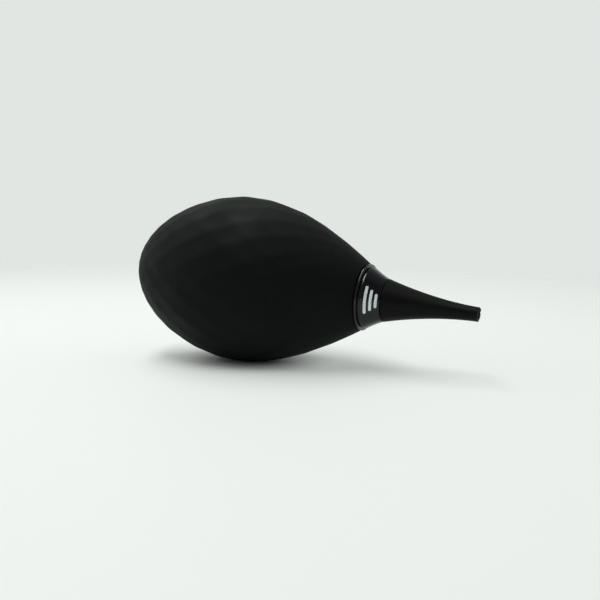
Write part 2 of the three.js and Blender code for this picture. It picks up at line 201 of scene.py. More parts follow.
class StageSettings(bpy.types.PropertyGroup):
    """Camera, floor and lights."""

    camera_place: FloatVectorProperty(
        name="Camera",
        description="Place of the camera",
        default=(0.12658, -0.26947, 0.05304),
        subtype="TRANSLATION",
    )
    camera_heading: turn("Heading", "Turn of the camera from +Y", 25.051)
    camera_dip: turn("Dip", "How far the camera looks down", 5.760)
    camera_roll: turn("Roll", "Roll of the camera", 0.609)
    lens: share("Lens", "Focal length in mm", 49.87)
    floor_colour: colour("Floor", "Colour of the floor", (0.56, 0.575, 0.57))
    # Painted light: the floor glows by emission to lighten the shadows on it. No light comes from
    # below.
    painted_floor_light: factor("Floor glow", "Light that the floor passes through from below", 0.4)
    # Painted contact shadow: the floor's glow fades to none around this place under the bulb.
    painted_shadow_x: length("Touch x", "Where the bulb shades the floor's glow", -19.7)
    painted_shadow_start: length("Touch start", "Reach of the full shade around that place", 8.0)
    painted_shadow_end: length("Touch end", "Where the shade has ended", 34.0)
    floor_reach: length("Floor radius", "Radius of the floor", 750.0)
    floor_fade: length("Floor fade", "Where the floor begins to fade into the backdrop", 120.0)
    sky_colour: colour("Backdrop", "Colour of the light all around", (0.75, 0.79, 0.76))
    sky_overhead: factor("Overhead", "Backdrop's brightness overhead, against that low down", 0.35)
    sky_behind: factor("Behind", "Backdrop's brightness behind the camera, against the far side", 0.3)
    strip_power: share("Strip power", "Power of the long soft box overhead, in watts", 7.2)
    left_power: share("Left power", "Power of the soft box at the left, in watts", 0.6)


GROUPS = {
    "blower_bulb": BulbSettings,
    "blower_collar": CollarSettings,
    "blower_nozzle": NozzleSettings,
    "blower_tail": TailSettings,
    "blower_valves": ValveSettings,
    "blower_stage": StageSettings,
}


def settings(part):
    """The settings of one part, such as "bulb"."""
    return getattr(bpy.context.scene, f"blower_{part}")


# ---- the blower's own axis


def mouth_station():
    """Where the bulb ends, from the tail end."""
    bulb = settings("bulb")
    return bulb.tail_length + bulb.front_length


def seam_station():
    """Where the collar meets the nozzle."""
    return mouth_station() + settings("collar").collar_length


def axis_frame():
    """The blower's axis as (origin, along, up, side).

    Along is the squeeze joint's axis. Up is the direction square to it in the upright plane, and side
    is +Y. The origin is the tail end: the point on the axis that lies a nozzle's end back from the
    nozzle's tip.
    """
    joint = next(j for j in frame["joints"] if j["name"] == "bulb_squeeze")
    along = np.array(joint["axis"], float)
    along /= np.linalg.norm(along)
    side = np.array([0.0, 1.0, 0.0])
    up = np.cross(along, side)
    mesh = frame["nodes"]["nozzle"].data
    points = np.empty(len(mesh.vertices) * 3, np.float32)
    mesh.vertices.foreach_get("co", points)
    points = points.reshape(-1, 3).astype(float)
    height = points @ up
    tip = (points @ along).max()
    whole = seam_station() + settings("nozzle").nozzle_length
    origin = (tip - whole) * along + (height.min() + height.max()) / 2 * up
    return origin, along, up, side


def to_row(stations, outward, angles):
    """Points of the row frame: origin + station along + outward (cos angle up + sin angle side)."""
    origin, along, up, side = axis_frame()
    return (
        origin
        + stations[..., None] * along
        + (outward * np.cos(angles))[..., None] * up
        + (outward * np.sin(angles))[..., None] * side
    )


# ---- surfaces


def mesh_object(name, points, faces):
    """A mesh object from an array of points and arrays of triangles and quads."""
    mesh = bpy.data.meshes.new(name)
    mesh.from_pydata(points.tolist(), [], [face for group in faces for face in group.tolist()])
    mesh.validate()
    piece = bpy.data.objects.new(name, mesh)
    bpy.context.scene.collection.objects.link(piece)
    return piece


def smooth(piece, degrees=32.0):
    """Smooth shading that stays crisp across edges sharper than the angle."""
    mesh = piece.data
    mesh.polygons.foreach_set("use_smooth", np.ones(len(mesh.polygons), bool))
    mesh.set_sharp_from_angle(angle=math.radians(degrees))
    mesh.update()
    return piece


def wrapped(name, grid, ring=True, closed=False):
    """A surface from a grid of points (rows, columns, 3).

    Each cell is a quad. With ring, the last column joins the first, and with closed, the last row
    joins the first. A first or last row whose points all lie in one place becomes a pole with
    triangles. Rows run so that (next row) x (next column) points outwards.
    """
    rows, columns = grid.shape[:2]
    index = np.arange(rows * columns).reshape(rows, columns)
    for row in () if closed else (0, rows - 1):
        if np.ptp(grid[row], axis=0).max() < NUDGE:
            index[row] = index[row, 0]
    here, after = (index, np.roll(index, -1, axis=1)) if ring else (index[:, :-1], index[:, 1:])
    below, beside = np.roll(here, -1, axis=0), np.roll(after, -1, axis=0)
    if not closed:
        here, after, below, beside = (cells[:-1] for cells in (here, after, below, beside))
    cells = np.stack([here, below, beside, after], axis=-1).reshape(-1, 4)
    top = cells[:, 0] == cells[:, 3]
    bottom = cells[:, 1] == cells[:, 2]
    faces = [cells[~top & ~bottom], cells[top][:, [0, 1, 2]], cells[bottom][:, [0, 1, 3]]]
    used, renumbered = np.unique(np.concatenate([f.ravel() for f in faces]), return_inverse=True)
    ends = np.cumsum([0] + [f.size for f in faces])
    faces = [renumbered[a:b].reshape(f.shape) for a, b, f in zip(ends, ends[1:], faces)]
    return mesh_object(name, grid.reshape(-1, 3)[used], faces)


def angles_around(sides):
    """Evenly spaced angles of a full turn."""
    return np.arange(sides) * FULL_TURN / sides


def turned(name, profile, sides, closed=True):
    """A turned piece: the profile's (station, radius) points carried round the axis."""
    profile = np.asarray(profile, float)
    angle = angles_around(sides)
    stations = np.repeat(profile[:, :1], sides, axis=1)
    radii = np.repeat(profile[:, 1:], sides, axis=1)
    return wrapped(name, to_row(stations, radii, np.broadcast_to(angle, stations.shape)), closed=closed)


def rounded(corners, radii, steps=4):
    """A closed outline with rounded corners.

    Each corner becomes a quadratic curve that starts and ends one radius away along its two edges,
    and no more than 0.45 of the shorter edge.
    """
    corners = np.asarray(corners, float)
    radii = np.broadcast_to(np.asarray(radii, float), len(corners))
    back = np.roll(corners, 1, axis=0) - corners
    ahead = np.roll(corners, -1, axis=0) - corners
    long_back = np.linalg.norm(back, axis=1)
    long_ahead = np.linalg.norm(ahead, axis=1)
    reach = np.minimum(radii, 0.45 * np.minimum(long_back, long_ahead))[:, None]
    start = corners + back / long_back[:, None] * reach
    end = corners + ahead / long_ahead[:, None] * reach
    t = np.linspace(0, 1, steps + 1)[None, :, None]
    curve = (1 - t) ** 2 * start[:, None] + 2 * t * (1 - t) * corners[:, None] + t**2 * end[:, None]
    return curve.reshape(-1, 2)


def smoothstep(x, start, end):
    """0 before start, 1 after end, and 3t^2 - 2t^3 between."""
    t = np.clip((x - start) / (end - start), 0, 1)
    return t * t * (3 - 2 * t)


# ---- the bulb


def bulb_radius(station):
    """The bulb's smooth outline.

    Behind the widest place it is a superellipse, (1 - s/L)^p + (r/R)^p = 1. In front it falls from R
    to the mouth's radius as a cosine of the distance raised to one exponent, raised to another.
    """
    bulb = settings("bulb")
    inward = np.clip(1 - station / bulb.tail_length, 0, 1) ** bulb.tail_fullness
    tail = bulb.radius * np.clip(1 - inward, 0, 1) ** (1 / bulb.tail_fullness)
    along = np.clip((station - bulb.tail_length) / bulb.front_length, 0, 1)
    wave = np.clip(np.cos(math.pi / 2 * along**bulb.front_shift), 0, 1)
    front = bulb.mouth_radius + (bulb.radius - bulb.mouth_radius) * wave**bulb.front_fullness
    return np.where(station < bulb.tail_length, tail, front)


class FacetLattice:
    """Facets on the bulb in two coordinates, ring p and side q, both 0 at the resting facet's middle.

    p is the length along the outline divided by the radius, summed from the resting place and
    divided by the facet step. q counts half facets around from the bottom. Facet middles lie where
    p and q are whole numbers with an even sum, and corners where the sum is odd.
    """

    def __init__(self):
        bulb = settings("bulb")
        self.mouth = mouth_station()
        self.half = math.pi / bulb.facets_around
        ends = (1 - np.cos(np.linspace(0, math.pi, 6001))) / 2
        self.stations = NUDGE + (self.mouth - NUDGE) * ends
        radii = bulb_radius(self.stations)
        steps = np.hypot(np.diff(self.stations), np.diff(radii)) / ((radii[1:] + radii[:-1]) / 2)
        rings = np.concatenate([[0], np.cumsum(steps)]) / bulb.facet_step
        self.rings = rings - np.interp(bulb.rest_station, self.stations, rings)

    def station(self, ring):
        """The station of ring p."""
        return np.interp(ring, self.rings, self.stations)

    def ring(self, station):
        """The ring p at a station."""
        return np.interp(station, self.stations, self.rings)

    def tail_station(self, radius):
        """The station behind the widest place where the bulb has a given radius."""
        tail = self.stations[self.stations < 0.9 * settings("bulb").tail_length]
        return np.interp(radius, bulb_radius(tail), tail)

    def corner(self, ring, side):
        """Points (station, up, side) of the smooth bulb."""
        station = self.station(ring)
        radius = bulb_radius(station)
        angle = math.pi + side * self.half
        return np.stack([station, radius * np.cos(angle), radius * np.sin(angle)], axis=-1)

    def facet(self, a, b):
        """Facets as ruled patches: with a = p + q and b = p - q, each patch lies between the odd
        whole numbers next to a and b, and its points are weighted means of its four corners."""
        low_a = 2 * np.floor((a + 1) / 2) - 1
        low_b = 2 * np.floor((b + 1) / 2) - 1
        share_a = ((a - low_a) / 2)[..., None]
        share_b = ((b - low_b) / 2)[..., None]
        total = 0
        for step_a, weight_a in ((0, 1 - share_a), (2, share_a)):
            for step_b, weight_b in ((0, 1 - share_b), (2, share_b)):
                ring = (low_a + step_a + low_b + step_b) / 2
                side = (low_a + step_a - low_b - step_b) / 2
                total = total + weight_a * weight_b * self.corner(ring, side)
        return total

    def soft(self, ring, side, softness):
        """Facets with rounded edges: the mean of the facets over a small square around each point,
        with binomial weights 1, 4, 6, 4, 1 in each direction."""
        a, b = ring + side, ring - side
        weights = np.array([1, 4, 6, 4, 1]) / 16
        shifts = softness * np.linspace(-1, 1, 5)
        total = 0
        for weight_a, shift_a in zip(weights, shifts):
            for weight_b, shift_b in zip(weights, shifts):
                total = total + weight_a * weight_b * self.facet(a + shift_a, b + shift_b)
        return total


def hollow_outline(back, front, count):
    """The bulb's inner wall: the outside moved square inwards by the wall, from back to front."""
    bulb = settings("bulb")
    ends = (1 - np.cos(np.linspace(0, math.pi, 2001))) / 2
    station = mouth_station() * (0.002 + 0.996 * ends)
    slope = np.gradient(bulb_radius(station), station)
    size = np.hypot(1, slope)
    inner_station = station + bulb.wall * slope / size
    inner_radius = bulb_radius(station) - bulb.wall / size
    order = np.argsort(inner_station)
    wanted = back + (front - back) * (1 - np.cos(np.linspace(0, math.pi, count))) / 2
    return np.stack([wanted, np.interp(wanted, inner_station[order], inner_radius[order])], axis=-1)


def make_bulb():
    """The bulb as one closed surface.

    Rows run from the tail pocket's edge over the facets to the mouth, in through the mouth's hole,
    back along the hollow and out through the tail's hole and pocket. The facets fade into the
    smooth outline towards the collar. Rubber below the floor is pressed flat on it.
    """
    bulb = settings("bulb")
    lattice = FacetLattice()
    fine = 10
    sides = 2 * bulb.facets_around * fine
    side = np.arange(sides) / fine
    edge = bulb.lip_rounding
    tail_edge = lattice.tail_station(bulb.pocket_radius + edge)
    rows = np.ceil((lattice.ring(lattice.mouth - edge) - lattice.ring(tail_edge)) * fine).astype(int)
    ring = np.linspace(lattice.ring(tail_edge), lattice.ring(lattice.mouth - edge), rows)
    ring, across = np.meshgrid(ring, side, indexing="ij")
    faceted = lattice.soft(ring, across, bulb.edge_softness)
    plain = lattice.corner(ring, across)
    fade = smoothstep(plain[..., :1], bulb.fade_start, bulb.fade_end)
    outside = faceted + (plain - faceted) * fade

    hollow_back = bulb.pocket_depth + bulb.tail_wall
    lip_back = lattice.mouth - bulb.mouth_lip
    hollow = hollow_outline(hollow_back, lip_back, 25)[::-1]
    mouth_radius = bulb_radius(lattice.mouth - edge)
    front = [
        (lattice.mouth - edge, mouth_radius),
        (lattice.mouth, bulb.mouth_radius),
        (lattice.mouth, bulb.mouth_hole),
        (lip_back, bulb.mouth_hole),
        hollow[0],
    ]
    back = [
        hollow[-1],
        (hollow_back, bulb.tail_hole),
        (bulb.pocket_depth, bulb.tail_hole),
        (bulb.pocket_depth, bulb.pocket_radius),
        (lattice.tail_station(bulb.pocket_radius), bulb.pocket_radius),
        (tail_edge, bulb.pocket_radius + edge),
    ]
    runs = [rounded_run(front, edge)[1:], hollow[1:-1], rounded_run(back, edge)[:-1]]
    inside = np.concatenate(runs)
    angle = math.pi + side * lattice.half
    station = np.broadcast_to(inside[:, :1], (len(inside), sides))
    radius = inside[:, 1:]
    inner = np.stack([station, radius * np.cos(angle), radius * np.sin(angle)], axis=-1)
    local = np.concatenate([outside, inner])
    origin, along, up, side_way = axis_frame()
    grid = origin + local @ np.stack([along, up, side_way])
    grid[..., 2] = np.maximum(grid[..., 2], 0.0)
    return smooth(wrapped("bulb_skin", grid, closed=True), 40.0)


def rounded_run(corners, radius, steps=3):
    """An open outline through the corners, with each inner corner rounded as in rounded()."""
    corners = np.asarray(corners, float)
    curve = rounded(corners, radius, steps).reshape(len(corners), steps + 1, 2)
    return np.concatenate([corners[:1], curve[1:-1].reshape(-1, 2), corners[-1:]])


# ---- collar, nozzle and tail cap


def flare_radius(station):
    """The collar's flare: a power of the distance left to the seam, from the mouth to the nozzle."""
    collar = settings("collar")
    nozzle = settings("nozzle")
    start = mouth_station() + collar.flare_setback
    left = np.clip(1 - (station - start) / (seam_station() - start), 0, 1)
    wide = settings("bulb").mouth_radius - collar.flare_inset
    return nozzle.base_radius + (wide - nozzle.base_radius) * left**collar.flare_exponent


def make_collar():
    """The collar: a half-elliptic bead, a groove, and the flare, turned round the axis."""
    collar = settings("collar")
    bulb = settings("bulb")
    start = mouth_station() + collar.gap
    end = seam_station() - collar.gap / 2
    arc = np.linspace(0, math.pi, 25)
    along = start + collar.bead_width / 2 * (1 - np.cos(arc))
    outward = bulb.mouth_radius - collar.bead_inset + collar.bead_height * np.sin(arc)
    bead = np.stack([along, outward], axis=-1)
    groove_start = start + collar.bead_width
    groove_end = groove_start + collar.groove_width
    groove_radius = flare_radius(groove_end) - collar.groove_depth
    edge_end = groove_end + 0.4 * MM
    groove = [
        bead[-1],
        (groove_start, groove_radius),
        (groove_end, groove_radius),
        (groove_end, flare_radius(groove_end)),
        (edge_end, flare_radius(edge_end)),
    ]
    run = np.linspace(edge_end + 0.05 * MM, end - collar.end_rounding, 40)
    flare = np.stack([run, flare_radius(run)], axis=-1)
    back = rounded_run(
        [flare[-1], (end, flare_radius(end)), (end, collar.bore), (start, collar.bore), bead[0]],
        collar.end_rounding,
    )
    profile = np.concatenate([bead, rounded_run(groove, 0.1 * MM)[1:], flare, back[1:-1]])
    return smooth(turned("collar_ring", profile, 216), 30.0)


def make_mark():
    """Three printed bars on the flare, each shorter than the last.

    A bar runs round the axis and has round ends: its width is w times the root of 1 - t^4, where t
    goes from -1 to 1 along the bar. Its ink stands a little over the flare.
    """
    collar = settings("collar")
    first = mouth_station() + collar.mark_start
    bars = []
    for number, part in enumerate((1.0, 0.75, 0.5)):
        middle = first + number * collar.mark_pitch
        radius = float(flare_radius(middle))
        reach = collar.mark_length * part / 2 / radius
        t = np.linspace(-1, 1, 49)
        across = np.linspace(-1, 1, 7)
        run = np.sin(t * math.pi / 2)
        width = collar.mark_bar / 2 * np.clip(1 - np.abs(run) ** (4 + 20 * part), 0, 1) ** 0.5
        station = middle + across[:, None] * width[None, :]
        angle = np.broadcast_to(collar.mark_angle + run * reach, station.shape)
        edge = np.clip(1 - np.maximum(np.abs(across)[:, None] ** 8, np.abs(run)[None, :] ** 8), 0, 1)
        lift = collar.mark_rise * (0.25 + 0.75 * edge)
        grid = to_row(station, flare_radius(station) + lift, angle)
        bars.append(wrapped(f"mark_bar_{number}", grid, ring=False))
    return joined("collar_mark", bars)


def joined(name, parts):
    """Several mesh objects as one."""
    whole = bmesh.new()
    for part in parts:
        whole.from_mesh(part.data)
        bpy.data.objects.remove(part)
    mesh = bpy.data.meshes.new(name)
    whole.to_mesh(mesh)
    whole.free()
    piece = bpy.data.objects.new(name, mesh)
    bpy.context.scene.collection.objects.link(piece)
    return smooth(piece, 60.0)


def nozzle_radius(station):
    """The nozzle's taper: a power of the distance left to the tip, from the seam to the tip."""
    nozzle = settings("nozzle")
    left = np.clip(1 - (station - seam_station()) / nozzle.nozzle_length, 0, 1)
    return nozzle.tip_radius + (nozzle.base_radius - nozzle.tip_radius) * left**nozzle.exponent


def make_nozzle():
    """The nozzle: its taper, a rounded and slightly nicked tip, its bore and its socket.

    The nicks draw the tip's edge back by a sum of three waves round the axis, less and less over
    the last two millimetres.
    """
    nozzle = settings("nozzle")
    seam = seam_station()
    start = seam + settings("collar").gap / 2
    end = seam + nozzle.nozzle_length
    socket_end = seam + nozzle.socket_depth
    run = np.linspace(start + 0.2 * MM, end - nozzle.tip_rounding - 0.05 * MM, 90)
    taper = np.stack([run, nozzle_radius(run)], axis=-1)
    throat = (socket_end, nozzle.throat)
    tip = rounded_run(
        [taper[-1], (end, nozzle.tip_radius), (end, nozzle.tip_bore), throat],
        nozzle.tip_rounding,
        steps=6,
    )
    base = [
        throat,
        (socket_end, nozzle.socket_radius),
        (start, nozzle.socket_radius),
        (start, nozzle_radius(start)),
        taper[0],
    ]
    profile = np.concatenate([taper, tip[1:], rounded_run(base, 0.15 * MM)[1:-1]])
    sides = 180
    angle = angles_around(sides)
    waves = 0.5
    for height, count, shift in ((0.25, 5, 0.7), (0.15, 9, 2.1), (0.1, 14, 0.0)):
        waves = waves + height * np.sin(count * angle + shift)
    near = smoothstep(profile[:, 0], end - 2 * MM, end)
    station = profile[:, :1] - nozzle.tip_wear * near[:, None] * waves[None, :]
    radius = np.broadcast_to(profile[:, 1:], station.shape)
    grid = to_row(station, radius, np.broadcast_to(angle, station.shape))
    return smooth(wrapped("nozzle_tube", grid, closed=True), 40.0)


def make_cap():
    """The tail cap: a dome that follows the bulb's outline, a rim and a hollow plug, turned round
    the axis, with a middle air hole and a ring of them cut through the dome."""
    tail = settings("tail")
    lattice = FacetLattice()
    edge = 0.3 * MM
    radii = (tail.cap_radius - edge) * np.sin(np.linspace(0, math.pi / 2, 40))
    dome = np.stack([lattice.tail_station(radii), radii], axis=-1)
    dome[0] = (0, 0)
    dome[:, 0] += tail.dome_inset
    rim = [
        dome[-1],
        (lattice.tail_station(tail.cap_radius), tail.cap_radius),
        (tail.cap_end, tail.cap_radius),
        (tail.cap_end, tail.plug_radius),
        (tail.plug_end, tail.plug_radius),
        (tail.plug_end, tail.plug_bore),
        (tail.shell, tail.plug_bore),
        (tail.shell, 0.0),
    ]
    profile = np.concatenate([dome, rounded_run(rim, edge)[1:]])
    cap = turned("tail_cap", profile, 96, closed=False)
    steps = np.arange(tail.hole_count) * FULL_TURN / tail.hole_count
    places = [(0.0, 0.0)] + [(tail.hole_circle, angle) for angle in steps]
    drills = [drill(number, *place) for number, place in enumerate(places)]
    for number, cutter in enumerate(drills):
        cut = cap.modifiers.new(f"hole_{number}", "BOOLEAN")
        cut.operation = "DIFFERENCE"
        cut.solver = "EXACT"
        cut.object = cutter
    settle(cap)
    for cutter in drills:
        bpy.data.objects.remove(cutter)
    return smooth(cap, 30.0)


def drill(number, circle, angle):
    """A cutter for one air hole: a cylinder along the axis, at a place on a circle round it."""
    tail = settings("tail")
    origin, along, up, side = axis_frame()
    centre = circle * (math.cos(angle) * up + math.sin(angle) * side)
    turn = angles_around(32)
    radii = tail.hole_radius * np.array([0, 1, 1, 0])
    stations = MM * np.array([-1, -1, 3, 3])
    ring = np.cos(turn)[:, None] * up + np.sin(turn)[:, None] * side
    grid = origin + centre + stations[:, None, None] * along + radii[:, None, None] * ring
    return wrapped(f"drill_{number}", grid)


def settle(piece):
    """Makes a piece's modifiers part of its mesh."""
    bpy.context.view_layer.update()
    evaluated = piece.evaluated_get(bpy.context.evaluated_depsgraph_get())
    mesh = bpy.data.meshes.new_from_object(evaluated)
    piece.modifiers.clear()
    piece.data = mesh
    mesh.name = piece.name


# ---- finishes


class Tree:
    """A node tree being built, with short calls that add nodes to it."""

    def __init__(self, tree):
        self.tree = tree

    def node(self, kind, **settings):
        """A node with its settings."""
        made = self.tree.nodes.new(kind)
        for key, value in settings.items():
            setattr(made, key, value)
        return made

    def link(self, value, socket):
        """Links an output to a socket, or sets the socket to a number or colour."""
        if isinstance(value, bpy.types.NodeSocket):
            self.tree.links.new(value, socket)
        else:
            socket.default_value = value

    def maths(self, operation, first, second=0.5):
        """One arithmetic step."""
        made = self.node("ShaderNodeMath", operation=operation)
        self.link(first, made.inputs[0])
        self.link(second, made.inputs[1])
        return made.outputs[0]

    def vector(self, operation, first, second=(0.0, 0.0, 0.0)):
        """A number made from vectors, such as a length or a dot product."""
        made = self.node("ShaderNodeVectorMath", operation=operation)
        self.link(first, made.inputs[0])
        self.link(second, made.inputs[1])
        return made.outputs["Value"]

    def span(self, value, low, high, start=0.0, end=1.0):
        """Maps low..high to start..end, and keeps it within them."""
        made = self.node("ShaderNodeMapRange", interpolation_type="SMOOTHSTEP")
        for socket, given in zip(made.inputs, (value, low, high, start, end)):
            self.link(given, socket)
        return made.outputs["Result"]


class Finish(Tree):
    """A material being built: a Principled surface and the nodes that feed it."""

    def __init__(self, name, base, roughness, metallic=0.0, specular=0.5):
        self.material = bpy.data.materials.new(name)
        self.material.use_nodes = True
        super().__init__(self.material.node_tree)
        self.surface = self.tree.nodes["Principled BSDF"]
        sockets = ("Base Color", "Roughness", "Metallic", "Specular IOR Level")
        for socket, value in zip(sockets, ((*base, 1), roughness, metallic, specular)):
            self.surface.inputs[socket].default_value = value
        self.material.diffuse_color = (*base, 1)
        self.place = self.node("ShaderNodeTexCoord").outputs["Object"]

    def noise(self, size, detail=2.0, roughness=0.5, place=None):
        """Noise whose features are about a size in metres across."""
        made = self.node("ShaderNodeTexNoise")
        self.link(place or self.place, made.inputs["Vector"])
        self.link(1 / size, made.inputs["Scale"])
        self.link(detail, made.inputs["Detail"])
        self.link(roughness, made.inputs["Roughness"])
        return made.outputs["Fac"]

    def specks(self, spacing, radius, share=1.0):
        """Small round specks: 1 near the points of a cell pattern that holds a share of them."""
        cells = self.node("ShaderNodeTexVoronoi", feature="F1")
        self.link(self.place, cells.inputs["Vector"])
        self.link(1 / spacing, cells.inputs["Scale"])
        near = self.span(cells.outputs["Distance"], radius / spacing, 0.35 * radius / spacing)
        chosen = self.node("ShaderNodeSeparateColor")
        self.link(cells.outputs["Color"], chosen.inputs["Color"])
        kept = self.maths("LESS_THAN", chosen.outputs["Red"], share)
        return self.maths("MULTIPLY", near, kept)

    def stretched(self, scale):
        """Object coordinates turned to the blower's axis and scaled along x, y and z."""
        along = Vector(axis_frame()[1])
        mapping = self.node("ShaderNodeMapping")
        self.link(self.place, mapping.inputs["Vector"])
        self.link((0.0, -math.atan2(-along.z, along.x), 0.0), mapping.inputs["Rotation"])
        self.link(scale, mapping.inputs["Scale"])
        return mapping.outputs["Vector"]

    def mix(self, share, first, second):
        """A colour between two."""
        made = self.node("ShaderNodeMix", data_type="RGBA")
        self.link(share, made.inputs["Factor"])
        for socket, given in ((made.inputs["A"], first), (made.inputs["B"], second)):
            self.link((*given, 1) if isinstance(given, tuple) and len(given) == 3 else given, socket)
        return made.outputs["Result"]

    def colour(self, value):
        """Sets the base colour."""
        self.link(value, self.surface.inputs["Base Color"])

    def gloss(self, value):
        """Sets the roughness."""
        self.link(value, self.surface.inputs["Roughness"])

    def mottle(self, cloud, shades, roughness):
        """Shades of a colour, and a roughness, that both follow one pattern from 0 to 1."""
        self.colour(self.mix(cloud, *shades))
        self.gloss(self.span(cloud, 0.0, 1.0, *roughness))

    def relief(self, height, depth, strength=1.0, after=None):
        """Adds a bump of a depth in metres."""
        made = self.node("ShaderNodeBump")
        self.link(height, made.inputs["Height"])
        self.link(depth, made.inputs["Distance"])
        self.link(strength, made.inputs["Strength"])
        if after is not None:
            self.link(after, made.inputs["Normal"])
        self.link(made.outputs["Normal"], self.surface.inputs["Normal"])
        return made.outputs["Normal"]

    def put_on(self, *pieces):
        """Gives the material to pieces."""
        for piece in pieces:
            piece.data.materials.clear()
            piece.data.materials.append(self.material)


def scaled(base, amount):
    """A colour made lighter or darker."""
    return tuple(min(1.0, amount * channel) for channel in base)


def moulded_rubber():
    """The bulb's rubber: nearly black, dry to the touch, with a fine grain, faint cloudy
    handling marks and a few specks of dust."""
    bulb = settings("bulb")
    base = tuple(bulb.rubber)
    made = Finish("moulded_rubber", base, bulb.roughness, specular=0.16)
    clouds = made.noise(0.014, 4.0, 0.6)
    film = made.span(clouds, 0.38, 0.68)
    tone = made.mix(film, scaled(base, 0.82), scaled(base, 1.35))
    dust = made.specks(0.0042, 0.00016, 0.4)
    lint = made.specks(0.013, 0.0006, 0.3)
    specks = made.maths("MAXIMUM", made.maths("MULTIPLY", dust, 0.3), made.maths("MULTIPLY", lint, 0.8))
    made.colour(made.mix(specks, tone, (0.16, 0.165, 0.16)))
    made.gloss(made.span(clouds, 0.3, 0.7, bulb.roughness - 0.05, bulb.roughness + 0.07))
    made.surface.inputs["Specular Tint"].default_value = (0.93, 1.0, 0.97, 1)
    grain = made.noise(0.00032, 3.0, 0.65)
    skin = made.relief(grain, 0.00001, 0.5)
    made.relief(made.noise(0.0045, 3.0), 0.00016, 0.8, after=skin)
    return made


def nozzle_rubber():
    """The nozzle's rubber: matte, with faint drawn lines along it and a finer grain."""
    nozzle = settings("nozzle")
    base = tuple(nozzle.rubber)
    made = Finish("nozzle_rubber", base, nozzle.roughness, specular=0.1)
    lines = made.noise(0.0011, 3.0, 0.6, place=made.stretched((0.12, 1.0, 1.0)))
    clouds = made.noise(0.008, 3.0)
    made.colour(made.mix(made.span(clouds, 0.35, 0.7), scaled(base, 0.8), scaled(base, 1.3)))
    made.gloss(made.span(clouds, 0.3, 0.7, nozzle.roughness - 0.05, nozzle.roughness + 0.06))
    drawn = made.relief(lines, 0.00002, 0.4)
    made.relief(made.noise(0.00028, 2.0), 0.000008, 0.5, after=drawn)
    return made


def polished_plastic():
    """The collar's plastic: polished black, with light haze and hair-fine turning marks."""
    collar = settings("collar")
    base = tuple(collar.plastic)
    made = Finish("polished_plastic", base, collar.roughness, specular=0.34)
    haze = made.span(made.noise(0.0045, 4.0, 0.6), 0.35, 0.75)
    hazy = (collar.roughness - 0.02, collar.roughness + 0.09)
    made.mottle(haze, (base, scaled(base, 1.4)), hazy)
    rings = made.noise(0.0005, 2.0, 0.5, place=made.stretched((1.0, 0.05, 0.05)))
    made.relief(rings, 0.000003, 0.35)
    return made


def white_ink():
    """The printed bars: slightly cool white ink with a mottled, thin print."""
    base = tuple(settings("collar").mark_colour)
    made = Finish("white_ink", base, 0.42)
    thin = made.span(made.noise(0.0006, 3.0, 0.6), 0.3, 0.62)
    made.mottle(thin, (scaled(base, 0.72), base), (0.5, 0.38))
    return made


def satin_plastic():
    """The tail cap's and bush's plastic: satin black with a spark-eroded grain."""
    base = tuple(settings("tail").plastic)
    made = Finish("satin_plastic", base, 0.42)
    clouds = made.noise(0.006, 3.0)
    made.colour(made.mix(made.span(clouds, 0.35, 0.7), scaled(base, 0.85), scaled(base, 1.3)))
    made.gloss(made.span(clouds, 0.3, 0.7, 0.37, 0.48))
    made.relief(made.noise(0.00022, 3.0, 0.7), 0.000012, 0.6)
    return made


def seal_rubber():
    """Flaps, gaskets and the seal: pale silicone, slightly cloudy, with dust on it."""
    base = tuple(settings("valves").seal_rubber)
    made = Finish("seal_rubber", base, 0.48)
    made.surface.inputs["Subsurface Weight"].default_value = 0.15
    made.surface.inputs["Subsurface Radius"].default_value = (0.0008, 0.0008, 0.0007)
    cloud = made.span(made.noise(0.0025, 3.0), 0.35, 0.7)
    made.mottle(cloud, (scaled(base, 0.85), scaled(base, 1.12)), (0.42, 0.55))
    made.relief(made.noise(0.00025, 2.0), 0.000008, 0.4)
    return made


def valve_plastic():
    """The seat and cages: pale moulded plastic with faint flow marks."""
    base = tuple(settings("valves").valve_plastic)
    made = Finish("valve_plastic", base, 0.4)
    flow = made.span(made.noise(0.002, 3.0, place=made.stretched((0.3, 1.0, 1.0))), 0.35, 0.7)
    made.mottle(flow, (scaled(base, 0.9), scaled(base, 1.08)), (0.36, 0.46))
    made.relief(made.noise(0.0003, 2.0), 0.000006, 0.4)
    return made


def turned_metal(name, base, roughness):
    """Turned or rolled metal: fine rings round the axis and a slight tarnish."""
    made = Finish(name, base, roughness, metallic=1.0)
    tarnish = made.span(made.noise(0.003, 4.0, 0.6), 0.4, 0.75)
    made.mottle(tarnish, (base, scaled(base, 0.62)), (roughness - 0.05, roughness + 0.12))
    rings = made.noise(0.00025, 2.0, 0.5, place=made.stretched((1.0, 0.04, 0.04)))
    made.relief(rings, 0.000008, 0.5)
    return made


def pressed_felt():
    """The filter pad: pale felt with matted fibres and grey dust caught in it."""
    base = tuple(settings("valves").felt)
    made = Finish("pressed_felt", base, 0.95, specular=0.2)
    fibres = made.noise(0.0004, 6.0, 0.75, place=made.stretched((0.4, 1.0, 1.0)))
    caught = made.span(made.noise(0.0014, 4.0, 0.7), 0.45, 0.7)
    weave = made.mix(made.span(fibres, 0.3, 0.7), scaled(base, 0.7), scaled(base, 1.15))
    made.colour(made.mix(made.maths("MULTIPLY", caught, 0.5), weave, scaled(base, 0.4)))
    made.surface.inputs["Sheen Weight"].default_value = 0.3
    made.relief(fibres, 0.0001, 0.8)
    return made


# ---- operators


class BLOWER_OT_bulb(bpy.types.Operator):
    """Make the faceted rubber bulb"""

    bl_idname = "blower.bulb"
    bl_label = "Make bulb"

    def execute(self, context):
        skin = make_bulb()
        moulded_rubber().put_on(skin)
        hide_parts("bulb")
        bulb = context.scene.blower_bulb
        origin, along, up, side = axis_frame()
        rigid_neck = mouth_station() - bulb.mouth_lip
        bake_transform(skin)
        return {"FINISHED"}


